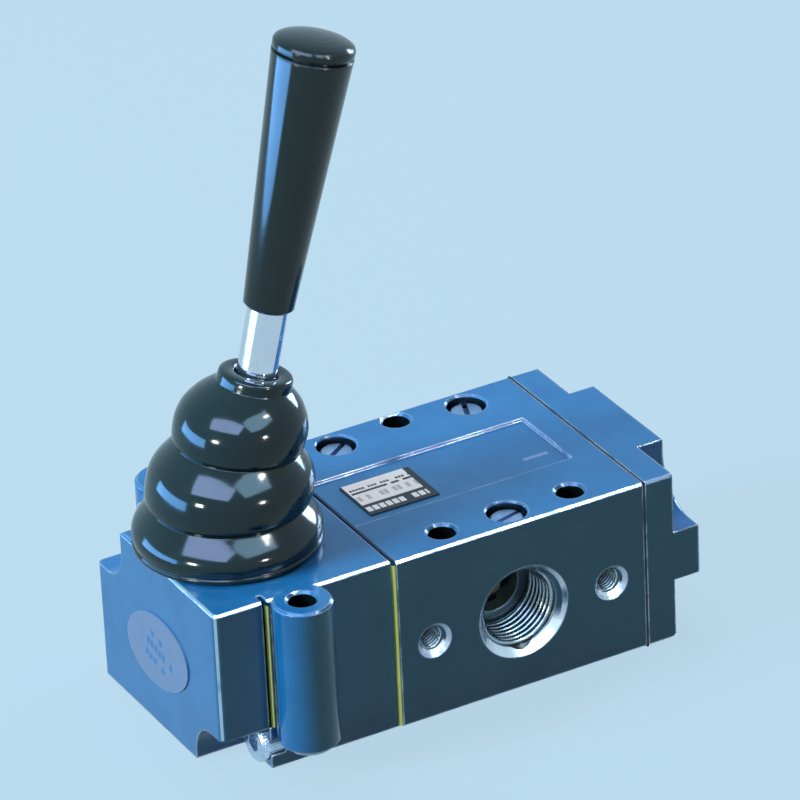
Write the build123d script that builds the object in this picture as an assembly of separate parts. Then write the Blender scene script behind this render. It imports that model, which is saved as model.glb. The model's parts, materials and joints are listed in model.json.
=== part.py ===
from build123d import *
import os
from math import cos, pi, radians, sin

# Hand lever air valve, in millimetres: a five port spool valve, worked by a hand lever and sent
# back by a spring.
# The origin is the middle of the body's mounting face. +Z goes up to the face that carries the
# name plate, +X from the lever head to the end cap, and -Y out of the face with the inlet.
# Valve pieces are placed in that frame. Lever pieces are drawn along their own +Z, with the pivot
# at their origin, and lever_place then leans them to the position that the spring gives.

# --- body ---
BODY_LENGTH = 56.5
BODY_WIDTH = 53.5
BODY_HEIGHT = 38.0
EDGE_BREAK = 0.5
AXIS_Z = 17.5                # height of the spool and of every port
BORE_R = 11.0                # bore for the stack of seals and spacers
GALLERY_COUNT = 5
GALLERY_WIDTH = 5.0
GALLERY_DEPTH = 1.5

# --- ports: radius of the thread's outer diameter, mouth radius, thread depth, drilled radius ---
INLET = dict(r=8.33, mouth=10.2, depth=12.0, drill=5.5)
OUTLET = dict(r=6.58, mouth=8.0, depth=11.0, drill=4.0)
EXHAUST = dict(r=2.5, mouth=3.8, depth=8.0, drill=2.0)

# --- holes in the top face ---
MOUNT_HOLE_R = 2.75
MOUNT_CHAMFER = 0.6
MOUNT_END = 13.55            # from the ends of the body to the two front mounting holes
MOUNT_EDGE = 5.7             # from the front face to their centres
BACK_MOUNT_EDGE = 3.2        # from the back face to the third one
TOP_SCREW_END = 13.05        # from the ends of the body to the two back screws
TOP_SCREW_EDGE = 5.5
TOP_SCREW_R = 2.0
TOP_SCREW_LENGTH = 3.6
TOP_SCREW_HEAD_R = 3.6
TOP_SCREW_HEAD_H = 2.8
TOP_RECESS_R = 4.1
TOP_RECESS_DEPTH = 4.2
SCREW_SLOT = 1.1
TOP_SCREW_TURNS = (35, 70, 15)
TAP_SPARE = 0.6              # how far a tapped hole goes past its screw

# --- name plate ---
PANEL_LENGTH = 50.2          # shallow recess, open at the head's end
PANEL_WIDTH = 19.8
PANEL_DEPTH = 0.6
PLATE_LENGTH = 15.8
PLATE_WIDTH = 13.0
PLATE_THICKNESS = 0.3
PLATE_OFFSET = 5.2           # from the head's end of the body
PLATE_Y = -0.7

# --- end cap ---
GASKET = 0.5
CAP_FLANGE = 6.4
CAP_BOSS = 6.2               # how far the cross stands out from the corners
CAP_BOSS_WIDTH = 26.9
CAP_RIB_HEIGHT = 11.0
CAP_SCOOP_ROUND = 10.0       # hollow corner of its pockets
CAP_CORNER_BREAK = 1.0       # lower corners of the cap
CAP_WALL = 2.5
CAP_SCREW_INSET = 5.6
CAP_SCREW_R = 2.0
CAP_SCREW_LENGTH = 11.0
CAP_HEAD_R = 3.5
CAP_HEAD_H = 4.0
HEAD_ROOM = 0.3              # clearance round a sunk screw head
HOLE_ROOM = 0.2              # radial clearance of a screw in a plain hole

# --- lever head ---
HEAD_LENGTH = 40.0
HEAD_INSET = 1.0             # the head is this much narrower on each side
HEAD_CORNER = 1.4
HEAD_SCOOP_WIDTH = 11.6      # pockets in two corners of its free end
HEAD_SCOOP_START = 8.25      # above and below the axis
HEAD_SCOOP_ROUND = 7.5
HEAD_SCOOP_LENGTH = 10.7
HEAD_SCREW_INSET = 4.4
HEAD_SCREW_R = 2.5
HEAD_SCREW_GRIP = 8.0        # length in the body
HEAD_SCREW_HEAD_R = 4.25
HEAD_SCREW_HEAD_H = 5.0
HEAD_SCREW_PROUD = 1.7       # how far its head stands out of the pocket's wall
COLUMN_END = 17.8            # from the head's free end
COLUMN_STAND = 3.15          # its axis stands this far out of the head's face
COLUMN_R = 6.1
COLUMN_FOOT = 5.2            # height of its lower end
COLUMN_BREAK = 1.2
SLIT_WIDTH = 1.1             # slit between a column and the block beside it
SLIT_DEPTH = 2.6
DRIVE_BORE_R = 8.4
HEAD_END_WALL = 2.8
WELL_HALF_X = 9.7            # well in which the lever's foot swings
WELL_HALF_Y = 6.5

# --- pivot ---
PIVOT_END = 16.8             # from the head's free end
LEAN = 13.95                 # degrees towards the end cap; the lever swings as far the other way
PIN_R = 2.5
PIN_LENGTH = 26.0
RUNNING_FIT = 0.03
KEEPER_R = 15.5
KEEPER_H = 5.5
KEEPER_HALF_X = 8.3
KEEPER_SCREW_X = 12.0
KEEPER_SCREW_R = 1.5
KEEPER_SCREW_LENGTH = 8.0
KEEPER_HEAD_R = 2.6
KEEPER_HEAD_H = 2.6

# --- lever ---
BUSH_R = 3.5
HUB_R = 6.0
HUB_SIDE_ROOM = 0.3
STEM_R = 5.5
STEM_TOP = 14.0
STUD_R = 3.0
STUD_START = 6.5
NUT_FLATS = 10.0
NUT_H = 5.0
ROD_R = 4.05
ROD_TOP = 78.0
BALL_R = 4.0
BALL_STUD_R = 1.5
ARM_ROOT_R = 3.6
ARM_TIP_R = 2.2
SLOT_ROOM = 0.15             # each side of the ball in its slot
GRIP_START = 49.7
GRIP_LENGTH = 53.6
GRIP_FOOT_R = 5.1
GRIP_TOP_R = 8.15
GRIP_BREAK = 0.6
GRIP_NECK_R = 7.3            # narrow ring under the cap
GRIP_NECK_H = 0.7
GRIP_CAP_RIM = 1.2
GRIP_CAP_DOME = 2.0
GRIP_CAP_STEPS = 6           # straight runs of the dome

# --- boot: rubber of three bulges and a collar ---
BOOT_WALL = 1.3
BOOT_NECK_DEPTH = 6.0        # the collar's bore starts this far below the collar
BOOT_LIP_H = 1.4
BOOT_LIP_ROOM = 0.1
# Each bulge stands on the bent axis of the boot, above the head's top face, with the outline of
# its side as (radius, height).
BOOT_BASE = dict(z=0, shift=0, tilt=0, side=[(19.0, 0), (19.1, 3.2), (18.0, 5.6), (15.6, 8.4)])
BOOT_MIDDLE = dict(z=13.6, shift=1.6, tilt=5.0, side=[
    (15.4, -6.6), (16.6, -3.6), (16.7, 0.4), (15.6, 3.4), (12.3, 7.6),
])
BOOT_CROWN = dict(z=27.4, shift=5.4, tilt=11.5, side=[
    (12.3, -8.2), (13.2, -5.4), (13.3, -0.6), (12.2, 2.4), (7.6, 7.4),
])
COLLAR_R = 7.3
COLLAR_START = 32.5          # along the lever
COLLAR_TOP = 38.8
SOFT_ROOM = 0.3              # between rubber and a piece that moves

# --- spool and its seals ---
SPOOL_R = 6.45
SPOOL_FIT = 0.05
SPOOL_WAIST_R = 4.3
SPOOL_WAIST = 7.2
SPOOL_START = 11.0           # its end in the head, from the joint
SPOOL_OVERRUN = 0.9          # its other end, short of the end cap's joint
SEAL_WIDTH = 2.5
END_RING = 1.5               # ring outside the first and last seal
SPACER_ROOM = 0.05
SPACER_BORE = 6.9
SPACER_SLOT = 3.4            # width of the slots that let air through
SPACER_SLOTS = 4
DRIVE_R = 8.0
DRIVE_WEB = 4.7              # floor of the drive slot, below the axis
DRIVE_TOP = 4.5              # flat top, above the axis
DRIVE_HALF = 8.0
DRIVE_NECK_R = 3.2
DRIVE_STUD_R = 2.5
DRIVE_STUD_LENGTH = 6.0

# --- return spring ---
SPRING_BORE_R = 4.3
SPRING_BORE_DEPTH = 12.0
SPRING_R = 3.25
WIRE_R = 0.5
SPRING_TURNS = 6
WIRE_SIDES = 4
SPRING_END_ROOM = 0.3
GUIDE_DISC = 1.0
GUIDE_R = 6.2
GUIDE_PEG_R = 2.4
GUIDE_PEG_LENGTH = 4.0
CHAMBER_ROOM = 0.4           # between the spool and the end cap's chamber

# --- oval end label ---
LABEL_HALF_LENGTH = 13.3
LABEL_HALF_HEIGHT = 8.1
LABEL_THICKNESS = 0.3
LABEL_TILT = -12.0

# --- places worked out from the sizes above ---
FRONT = -BODY_WIDTH / 2
BACK = BODY_WIDTH / 2
HEAD_JOINT = -BODY_LENGTH / 2
CAP_JOINT = BODY_LENGTH / 2
HEAD_END = HEAD_JOINT - HEAD_LENGTH
HEAD_FRONT = FRONT + HEAD_INSET
HEAD_BACK = BACK - HEAD_INSET
CAP_CORNER = CAP_JOINT + GASKET + CAP_FLANGE
CAP_END = CAP_CORNER + CAP_BOSS
CHAMBER_END = CAP_END - CAP_WALL
PIVOT = Vector(HEAD_END + PIVOT_END, 0, BODY_HEIGHT)
FOOT_ARM = BODY_HEIGHT - AXIS_Z
STROKE = 2 * FOOT_ARM * sin(radians(LEAN))
BALL_X = PIVOT.X - STROKE / 2
POCKET_X = HEAD_END + HEAD_SCOOP_LENGTH
SEAT_X = POCKET_X - HEAD_SCREW_PROUD + HEAD_SCREW_HEAD_H
SPOOL_X0 = HEAD_JOINT - SPOOL_START
SPOOL_X1 = CAP_JOINT - SPOOL_OVERRUN
GALLERY_PITCH = (BODY_LENGTH - SEAL_WIDTH - 2 * END_RING) / GALLERY_COUNT
GALLERIES = [(i - (GALLERY_COUNT - 1) / 2) * GALLERY_PITCH for i in range(GALLERY_COUNT)]
SEALS = [(i - GALLERY_COUNT / 2) * GALLERY_PITCH for i in range(GALLERY_COUNT + 1)]
HEAD_SCREWS = [
    (HEAD_FRONT + HEAD_SCREW_INSET, HEAD_SCREW_INSET),
    (HEAD_BACK - HEAD_SCREW_INSET, BODY_HEIGHT - HEAD_SCREW_INSET),
]
CAP_SCREWS = [
    (side * (BACK - CAP_SCREW_INSET), z)
    for side in (-1, 1)
    for z in (CAP_SCREW_INSET, BODY_HEIGHT - CAP_SCREW_INSET)
]
MOUNT_HOLES = [
    (HEAD_JOINT + MOUNT_END, FRONT + MOUNT_EDGE),
    (CAP_JOINT - MOUNT_END, FRONT + MOUNT_EDGE),
    (0, BACK - BACK_MOUNT_EDGE),
]
TOP_SCREWS = [
    (HEAD_JOINT + TOP_SCREW_END, BACK - TOP_SCREW_EDGE),
    (CAP_JOINT - TOP_SCREW_END, BACK - TOP_SCREW_EDGE),
    (0, FRONT + TOP_SCREW_EDGE),
]
COLUMNS = [
    (HEAD_END + COLUMN_END, HEAD_FRONT - COLUMN_STAND),
    (HEAD_END + COLUMN_END, HEAD_BACK + COLUMN_STAND),
]
RAISE = (Align.CENTER, Align.CENTER, Align.MIN)


# --- helpers ---
def rod_from(start, toward, radius, length):
    """Cylinder that starts at a point and runs in a direction."""
    return Plane(origin=start, z_dir=toward) * Cylinder(radius, length, align=RAISE)


def cone_from(start, toward, radius, end_radius, length):
    """Cone that starts at a point with one radius and ends with another."""
    return Plane(origin=start, z_dir=toward) * Cone(radius, end_radius, length, align=RAISE)


def block(x0, x1, y0, y1, z0, z1):
    """Box between two corners."""
    return Pos(x0, y0, z0) * Box(x1 - x0, y1 - y0, z1 - z0, align=(Align.MIN,) * 3)


def ring(x0, x1, outer, inner, z=AXIS_Z):
    """Ring round the spool's axis."""
    start = (x0, 0, z)
    return rod_from(start, (1, 0, 0), outer, x1 - x0) - rod_from(start, (1, 0, 0), inner, x1 - x0)


def turned(points):
    """Solid of revolution about +Z from an outline of straight runs, as (radius, height)."""
    outline = Polyline(*[(r, 0, z) for r, z in points], close=True)
    return revolve(make_face(outline), Axis.Z)


def socket_screw(shank_r, length, head_r, head_h):
    """Cap screw along +Z with its head below the origin and a six sided socket."""
    head = Pos(0, 0, -head_h) * Cylinder(head_r, head_h, align=RAISE)
    head = chamfer(head.edges().group_by(Axis.Z)[0], head_h / 12)
    socket = extrude(RegularPolygon(head_r * 0.5, 6), head_h / 2)
    return head - Pos(0, 0, -head_h) * socket + Cylinder(shank_r, length, align=RAISE)


def lever_place(piece):
    """Moves a lever piece from its own frame to the pivot, at the lean of rest."""
    return Pos(PIVOT) * Rot(0, LEAN, 0) * piece


def save(name, shape):
    """Writes one node."""
    export_step(shape, f"parts/{name}.step")


# --- valve body ---
def port(x, face, toward, size):
    """Threaded port: a mouth, the thread's length and a drilling that opens into the bore."""
    start = (x, face, AXIS_Z)
    mouth_depth = size["mouth"] - size["r"]
    cut = rod_from(start, (0, toward, 0), size["r"], size["depth"])
    cut += cone_from(start, (0, toward, 0), size["mouth"], size["r"], mouth_depth)
    return cut + rod_from(start, (0, toward, 0), size["drill"], BODY_WIDTH / 2)


def mount_hole(x, y, z0, z1):
    """Plain hole from top to bottom with a chamfer at both ends."""
    cut = rod_from((x, y, z0), (0, 0, 1), MOUNT_HOLE_R, z1 - z0)
    mouth = MOUNT_HOLE_R + MOUNT_CHAMFER
    cut += cone_from((x, y, z1), (0, 0, -1), mouth, MOUNT_HOLE_R, MOUNT_CHAMFER)
    return cut + cone_from((x, y, z0), (0, 0, 1), mouth, MOUNT_HOLE_R, MOUNT_CHAMFER)


def top_screw_hole(x, y):
    """Sunk seat and tapped hole for one screw of the top face."""
    top = (x, y, BODY_HEIGHT)
    rim = TOP_RECESS_R + MOUNT_CHAMFER / 2
    cut = rod_from(top, (0, 0, -1), TOP_RECESS_R, TOP_RECESS_DEPTH)
    cut += cone_from(top, (0, 0, -1), rim, TOP_RECESS_R, MOUNT_CHAMFER / 2)
    depth = TOP_RECESS_DEPTH + TOP_SCREW_LENGTH + TAP_SPARE
    return cut + rod_from(top, (0, 0, -1), TOP_SCREW_R, depth)


def bore_with_galleries():
    """Bore for the seals, with a wide groove at each port."""
    cut = rod_from((HEAD_JOINT, 0, AXIS_Z), (1, 0, 0), BORE_R, BODY_LENGTH)
    for x in GALLERIES:
        start = (x - GALLERY_WIDTH / 2, 0, AXIS_Z)
        cut += rod_from(start, (1, 0, 0), BORE_R + GALLERY_DEPTH, GALLERY_WIDTH)
    return cut


def valve_body():
    shape = block(HEAD_JOINT, CAP_JOINT, FRONT, BACK, 0, BODY_HEIGHT)
    shape = chamfer(shape.edges().filter_by(Axis.X), EDGE_BREAK)
    shape -= bore_with_galleries()
    shape -= port(0, FRONT, 1, INLET)
    for x in (GALLERIES[0], GALLERIES[-1]):
        shape -= port(x, FRONT, 1, EXHAUST)
    for x in (GALLERIES[1], GALLERIES[-2]):
        shape -= port(x, BACK, -1, OUTLET)
    for x, y in MOUNT_HOLES:
        shape -= mount_hole(x, y, 0, BODY_HEIGHT)
    for x, y in TOP_SCREWS:
        shape -= top_screw_hole(x, y)
    for y, z in HEAD_SCREWS:
        shape -= rod_from((HEAD_JOINT, y, z), (1, 0, 0), HEAD_SCREW_R, HEAD_SCREW_GRIP + TAP_SPARE)
    for y, z in CAP_SCREWS:
        depth = CAP_SCREW_LENGTH - (CAP_FLANGE - CAP_HEAD_H - HEAD_ROOM) - GASKET + TAP_SPARE
        shape -= rod_from((CAP_JOINT, y, z), (-1, 0, 0), CAP_SCREW_R, depth)
    panel_end = HEAD_JOINT + PANEL_LENGTH
    floor = BODY_HEIGHT - PANEL_DEPTH
    half = PANEL_WIDTH / 2
    return shape - block(HEAD_JOINT, panel_end, -half, half, floor, BODY_HEIGHT)


def name_plate():
    x = HEAD_JOINT + PLATE_OFFSET + PLATE_LENGTH / 2
    plate = Box(PLATE_LENGTH, PLATE_WIDTH, PLATE_THICKNESS, align=RAISE)
    return Pos(x, PLATE_Y, BODY_HEIGHT - PANEL_DEPTH) * plate


def top_screw():
    """Slotted cheese head screw along -Z, with its head above the origin."""
    head = Cylinder(TOP_SCREW_HEAD_R, TOP_SCREW_HEAD_H, align=RAISE)
    head = chamfer(head.edges().group_by(Axis.Z)[-1], TOP_SCREW_HEAD_H / 6)
    slot = Box(2 * TOP_SCREW_HEAD_R, SCREW_SLOT, TOP_SCREW_HEAD_H, align=RAISE)
    slot = Pos(0, 0, TOP_SCREW_HEAD_H / 2) * slot
    return head - slot + rod_from((0, 0, 0), (0, 0, -1), TOP_SCREW_R, TOP_SCREW_LENGTH)


def top_screws():
    seat = BODY_HEIGHT - TOP_RECESS_DEPTH
    places = [Pos(x, y, seat) for x, y in TOP_SCREWS]
    turns = [Rot(0, 0, angle) for angle in TOP_SCREW_TURNS]
    return Compound([place * turn * top_screw() for place, turn in zip(places, turns)])


# --- end cap ---
def cap_cross():
    """Cross shaped end of the cap, with hollow corners, drawn in the Y-Z plane."""
    middle = BODY_HEIGHT / 2
    cross = Rectangle(CAP_BOSS_WIDTH, BODY_HEIGHT) + Rectangle(BODY_WIDTH, CAP_RIB_HEIGHT)
    inner = [v for v in cross.vertices() if abs(abs(v.X) - CAP_BOSS_WIDTH / 2) < 1e-6
             and abs(abs(v.Y) - CAP_RIB_HEIGHT / 2) < 1e-6]
    cross = fillet(inner, CAP_SCOOP_ROUND)
    plane = Plane(origin=(CAP_CORNER, 0, middle), x_dir=(0, 1, 0), z_dir=(1, 0, 0))
    return extrude(plane * cross, CAP_BOSS)


def end_cap():
    shape = block(CAP_JOINT + GASKET, CAP_CORNER, FRONT, BACK, 0, BODY_HEIGHT)
    shape = chamfer(shape.edges().filter_by(Axis.X), EDGE_BREAK)
    lower_end = shape.edges().filter_by(Axis.Y).group_by(Axis.X)[-1].group_by(Axis.Z)[0]
    shape = chamfer(lower_end, CAP_CORNER_BREAK) + cap_cross()
    shape = chamfer(shape.faces().sort_by(Axis.X)[-1].edges(), EDGE_BREAK)
    chamber = SPOOL_R + CHAMBER_ROOM
    shape -= rod_from((CAP_JOINT, 0, AXIS_Z), (1, 0, 0), chamber, CHAMBER_END - CAP_JOINT)
    for y, z in CAP_SCREWS:
        face = (CAP_CORNER, y, z)
        shape -= rod_from(face, (-1, 0, 0), CAP_HEAD_R + HEAD_ROOM, CAP_HEAD_H + HEAD_ROOM)
        shape -= rod_from(face, (-1, 0, 0), CAP_SCREW_R + HOLE_ROOM, CAP_FLANGE)
    return shape


def end_cap_gasket():
    shape = block(CAP_JOINT, CAP_JOINT + GASKET, FRONT, BACK, 0, BODY_HEIGHT)
    shape -= rod_from((CAP_JOINT, 0, AXIS_Z), (1, 0, 0), SPOOL_R + CHAMBER_ROOM, GASKET)
    for y, z in CAP_SCREWS:
        shape -= rod_from((CAP_JOINT, y, z), (1, 0, 0), CAP_SCREW_R + HOLE_ROOM, GASKET)
    return shape


def end_cap_screws():
    screw = socket_screw(CAP_SCREW_R, CAP_SCREW_LENGTH, CAP_HEAD_R, CAP_HEAD_H)
    seat = CAP_CORNER - CAP_HEAD_H - HEAD_ROOM
    return Compound([Plane(origin=(seat, y, z), z_dir=(-1, 0, 0)) * screw for y, z in CAP_SCREWS])


# --- lever head ---
def head_outline():
    """Block of the head with broken corners at its free end."""
    shape = block(HEAD_END, HEAD_JOINT - GASKET, HEAD_FRONT, HEAD_BACK, 0, BODY_HEIGHT)
    ends = shape.edges().filter_by(Axis.Z).group_by(Axis.X)[0]
    shape = fillet(ends, HEAD_CORNER)
    for y, z in HEAD_SCREWS:
        shape -= scoop(y, z)
    return chamfer(shape.faces().sort_by(Axis.Z)[-1].edges(), EDGE_BREAK)


def head_column(x, y):
    """Round column at the side of the head that carries a mounting hole."""
    shape = Pos(x, y, COLUMN_FOOT) * Cylinder(COLUMN_R, BODY_HEIGHT - COLUMN_FOOT, align=RAISE)
    shape = chamfer(shape.edges().group_by(Axis.Z)[0], COLUMN_BREAK)
    return chamfer(shape.edges().group_by(Axis.Z)[-1], EDGE_BREAK)


def scoop(y, z):
    """Pocket round a screw in a corner of the head's free end, with a hollow inner corner."""
    corner_y = HEAD_BACK if y > 0 else HEAD_FRONT
    height = BODY_HEIGHT - AXIS_Z if z > AXIS_Z else AXIS_Z
    corner_z = BODY_HEIGHT if z > AXIS_Z else 0
    pocket = Rectangle(2 * HEAD_SCOOP_WIDTH, 2 * (height - HEAD_SCOOP_START))
    pocket = fillet(pocket.vertices(), HEAD_SCOOP_ROUND)
    plane = Plane(origin=(HEAD_END, corner_y, corner_z), x_dir=(0, 1, 0), z_dir=(1, 0, 0))
    return extrude(plane * pocket, HEAD_SCOOP_LENGTH)


def head_slits():
    """Narrow slits between the columns and the blocks beside them."""
    x1 = HEAD_END + COLUMN_END - COLUMN_R
    low = AXIS_Z - HEAD_SCOOP_START
    high = AXIS_Z + HEAD_SCOOP_START
    front = block(x1 - SLIT_WIDTH, x1, HEAD_FRONT - COLUMN_R, HEAD_FRONT + SLIT_DEPTH, low, BODY_HEIGHT)
    return front + block(x1 - SLIT_WIDTH, x1, HEAD_BACK - SLIT_DEPTH, HEAD_BACK + COLUMN_R, 0, high)


def drive_well():
    """Bore for the drive piece and the well in which the lever's foot swings."""
    length = HEAD_LENGTH - HEAD_END_WALL
    cut = rod_from((HEAD_JOINT, 0, AXIS_Z), (-1, 0, 0), DRIVE_BORE_R, length)
    floor = AXIS_Z - DRIVE_WEB
    x0 = PIVOT.X - WELL_HALF_X
    x1 = PIVOT.X + WELL_HALF_X
    return cut + block(x0, x1, -WELL_HALF_Y, WELL_HALF_Y, floor, BODY_HEIGHT)


def pin_groove():
    """Round seat for the pivot pin, half in the head and half in the keeper."""
    return rod_from((PIVOT.X, -PIN_LENGTH / 2, PIVOT.Z), (0, 1, 0), PIN_R, PIN_LENGTH)


def keeper_places():
    return [(PIVOT.X + side * KEEPER_SCREW_X, 0) for side in (-1, 1)]


def lever_housing():
    shape = head_outline()
    for x, y in COLUMNS:
        shape += head_column(x, y)
    shape -= head_slits()
    shape -= drive_well()
    shape -= pin_groove()
    for x, y in COLUMNS:
        shape -= mount_hole(x, y, COLUMN_FOOT, BODY_HEIGHT)
    for y, z in HEAD_SCREWS:
        shape -= rod_from((HEAD_END, y, z), (1, 0, 0), HEAD_SCREW_HEAD_R + HEAD_ROOM, SEAT_X - HEAD_END)
        shape -= rod_from((HEAD_END, y, z), (1, 0, 0), HEAD_SCREW_R + HOLE_ROOM, HEAD_LENGTH)
    tap = KEEPER_SCREW_LENGTH - (KEEPER_H - KEEPER_HEAD_H - HEAD_ROOM) + TAP_SPARE
    for x, y in keeper_places():
        shape -= rod_from((x, y, BODY_HEIGHT), (0, 0, -1), KEEPER_SCREW_R, tap)
    return shape


def housing_gasket():
    shape = block(HEAD_JOINT - GASKET, HEAD_JOINT, HEAD_FRONT, HEAD_BACK, 0, BODY_HEIGHT)
    shape -= rod_from((HEAD_JOINT, 0, AXIS_Z), (-1, 0, 0), DRIVE_BORE_R, GASKET)
    for y, z in HEAD_SCREWS:
        shape -= rod_from((HEAD_JOINT, y, z), (-1, 0, 0), HEAD_SCREW_R + HOLE_ROOM, GASKET)
    return shape


def housing_screws():
    length = HEAD_JOINT + HEAD_SCREW_GRIP - SEAT_X
    screw = socket_screw(HEAD_SCREW_R, length, HEAD_SCREW_HEAD_R, HEAD_SCREW_HEAD_H)
    return Compound([Plane(origin=(SEAT_X, y, z), z_dir=(1, 0, 0)) * screw for y, z in HEAD_SCREWS])


def pivot_keeper():
    """Ring that holds the pin down and carries the boot's lip."""
    shape = Pos(PIVOT) * Cylinder(KEEPER_R, KEEPER_H, align=RAISE)
    shape = chamfer(shape.edges().group_by(Axis.Z)[-1], EDGE_BREAK)
    x0 = PIVOT.X - KEEPER_HALF_X
    x1 = PIVOT.X + KEEPER_HALF_X
    shape -= block(x0, x1, -WELL_HALF_Y, WELL_HALF_Y, BODY_HEIGHT, BODY_HEIGHT + KEEPER_H)
    shape -= pin_groove()
    top = BODY_HEIGHT + KEEPER_H
    for x, y in keeper_places():
        shape -= rod_from((x, y, top), (0, 0, -1), KEEPER_SCREW_R + HOLE_ROOM, KEEPER_H)
        shape -= rod_from((x, y, top), (0, 0, -1), KEEPER_HEAD_R + HOLE_ROOM, KEEPER_HEAD_H + HEAD_ROOM)
    return shape


def keeper_screws():
    screw = socket_screw(KEEPER_SCREW_R, KEEPER_SCREW_LENGTH, KEEPER_HEAD_R, KEEPER_HEAD_H)
    seat = BODY_HEIGHT + KEEPER_H - KEEPER_HEAD_H - HEAD_ROOM
    return Compound([Plane(origin=(x, y, seat), z_dir=(0, 0, -1)) * screw for x, y in keeper_places()])


def end_label():
    plane = Plane(origin=(HEAD_END, 0, AXIS_Z), x_dir=(0, -1, 0), z_dir=(-1, 0, 0))
    oval = Rot(0, 0, -LABEL_TILT) * Ellipse(LABEL_HALF_LENGTH, LABEL_HALF_HEIGHT)
    return extrude(plane * oval, LABEL_THICKNESS)


# --- boot ---
def bulge(size, inset):
    """One bulge of straight runs, set on the bent axis of the boot; inset gives its inner side."""
    side = [(r - inset, z) for r, z in size["side"]]
    place = Pos(PIVOT.X + size["shift"], 0, BODY_HEIGHT + size["z"])
    return place * Rot(0, size["tilt"], 0) * turned([(0, side[0][1]), *side, (0, side[-1][1])])


def boot_collar(radius, start):
    return lever_place(Pos(0, 0, start) * Cylinder(radius, COLLAR_TOP - start, align=RAISE))


def boot():
    bulges = (BOOT_BASE, BOOT_MIDDLE, BOOT_CROWN)
    outer = boot_collar(COLLAR_R, COLLAR_START)
    inner = boot_collar(ROD_R + SOFT_ROOM, COLLAR_START - BOOT_NECK_DEPTH)
    for size in bulges:
        outer += bulge(size, 0)
        inner += bulge(size, BOOT_WALL)
    lip = Pos(PIVOT) * Cylinder(KEEPER_R + BOOT_LIP_ROOM, BOOT_LIP_H, align=RAISE)
    floor = Pos(PIVOT) * Cylinder(BOOT_BASE["side"][0][0], BOOT_LIP_H, align=RAISE)
    below = Pos(PIVOT.X, 0, 0) * Cylinder(2 * KEEPER_R, BODY_HEIGHT, align=RAISE)
    return outer - (inner - floor) - lip - below


# --- lever pieces, in the lever's own frame ---
def lever_hub():
    """Barrel on the pin, with a stem up to the rod and an arm down to the ball."""
    half = WELL_HALF_Y - HUB_SIDE_ROOM
    shape = rod_from((0, -half, 0), (0, 1, 0), HUB_R, 2 * half)
    shape += Cylinder(STEM_R, STEM_TOP, align=RAISE)
    shape += cone_from((0, 0, 0), (0, 0, -1), ARM_ROOT_R, ARM_TIP_R, FOOT_ARM - BALL_R + WIRE_R)
    shape += rod_from((0, 0, 0), (0, 0, -1), BALL_STUD_R, FOOT_ARM)
    shape -= Pos(0, 0, STUD_START) * Cylinder(STUD_R, STEM_TOP, align=RAISE)
    return shape - rod_from((0, -half, 0), (0, 1, 0), BUSH_R, 2 * half)


def pivot_bush():
    half = WELL_HALF_Y - HUB_SIDE_ROOM
    shape = rod_from((0, -half, 0), (0, 1, 0), BUSH_R, 2 * half)
    return shape - rod_from((0, -half, 0), (0, 1, 0), PIN_R + RUNNING_FIT, 2 * half)


def foot_ball():
    shape = Pos(0, 0, -FOOT_ARM) * Sphere(BALL_R)
    return shape - lever_arm_tip()


def lever_arm_tip():
    """The end of the hub's arm, which the ball is pressed on."""
    tip = cone_from((0, 0, 0), (0, 0, -1), ARM_ROOT_R, ARM_TIP_R, FOOT_ARM - BALL_R + WIRE_R)
    return tip + rod_from((0, 0, 0), (0, 0, -1), BALL_STUD_R, FOOT_ARM)


def rod_nut():
    flats = extrude(RegularPolygon(NUT_FLATS / 2, 6, major_radius=False), NUT_H)
    corner = NUT_FLATS / 2 / cos(pi / 6)
    bevel = Cone(corner + NUT_H, corner - EDGE_BREAK, NUT_H, align=RAISE)
    return Pos(0, 0, STEM_TOP) * ((flats & bevel) - Cylinder(STUD_R, NUT_H, align=RAISE))


def lever_rod():
    shoulder = STEM_TOP + NUT_H
    shape = Pos(0, 0, STUD_START) * Cylinder(STUD_R, shoulder - STUD_START, align=RAISE)
    return shape + Pos(0, 0, shoulder) * Cylinder(ROD_R, ROD_TOP - shoulder, align=RAISE)


def hand_grip():
    top = GRIP_START + GRIP_LENGTH
    body = turned([
        (0, GRIP_START),
        (GRIP_FOOT_R - GRIP_BREAK, GRIP_START),
        (GRIP_FOOT_R, GRIP_START + GRIP_BREAK),
        (GRIP_TOP_R, top - GRIP_NECK_H),
        (GRIP_NECK_R, top - GRIP_NECK_H),
        (GRIP_NECK_R, top),
        (0, top),
    ])
    return body - Cylinder(ROD_R, ROD_TOP, align=RAISE)


def grip_cap():
    start = GRIP_START + GRIP_LENGTH
    rim = start + GRIP_CAP_RIM
    angles = [pi / 2 * i / GRIP_CAP_STEPS for i in range(1, GRIP_CAP_STEPS)]
    dome = [(GRIP_TOP_R * cos(a), rim + GRIP_CAP_DOME * sin(a)) for a in angles]
    return turned([(0, start), (GRIP_TOP_R, start), (GRIP_TOP_R, rim), *dome, (0, rim + GRIP_CAP_DOME)])


# --- spool and what seals it ---
def spool():
    shape = rod_from((SPOOL_X0, 0, AXIS_Z), (1, 0, 0), SPOOL_R, SPOOL_X1 - SPOOL_X0)
    shape = chamfer(shape.edges().filter_by(GeomType.CIRCLE), EDGE_BREAK)
    centring = (GALLERY_PITCH - STROKE) / 2
    for seal in (SEALS[1], SEALS[3]):
        x = seal + centring
        shape -= ring(x - SPOOL_WAIST / 2, x + SPOOL_WAIST / 2, SPOOL_R, SPOOL_WAIST_R)
    shape -= rod_from((SPOOL_X1, 0, AXIS_Z), (-1, 0, 0), SPRING_BORE_R, SPRING_BORE_DEPTH)
    return shape - rod_from((SPOOL_X0, 0, AXIS_Z), (1, 0, 0), DRIVE_STUD_R, DRIVE_STUD_LENGTH)


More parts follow.
